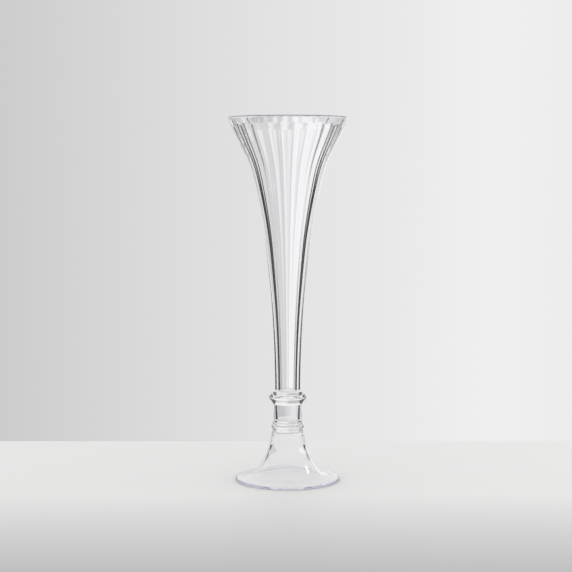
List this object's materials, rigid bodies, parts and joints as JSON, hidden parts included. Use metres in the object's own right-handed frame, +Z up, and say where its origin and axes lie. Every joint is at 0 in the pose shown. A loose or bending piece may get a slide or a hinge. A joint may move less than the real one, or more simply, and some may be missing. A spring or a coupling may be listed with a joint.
{
  "type": "trumpet vase",
  "caption": "Tall clear glass trumpet vase: fluted flared horn on a collar, hollow neck, small rings and an open bell foot.",
  "frame": {"origin": "centre of the resting ring under the foot, on the table surface", "axes": "+Z up along the vase's axis of symmetry, from the foot to the lip; -Y is the side seen in the picture"},
  "size_m": [0.1986, 0.1986, 0.61],
  "materials": {
    "clear_glass": "fire-polished clear glass, faint lavender at thick edges"
  },
  "bodies": {
    "root": {"bell_foot": "clear_glass", "foot_ring": "clear_glass", "small_bead": "clear_glass", "hollow_neck": "clear_glass", "collar_ring": "clear_glass", "trumpet_bowl": "clear_glass"}
  },
  "joints": []
}
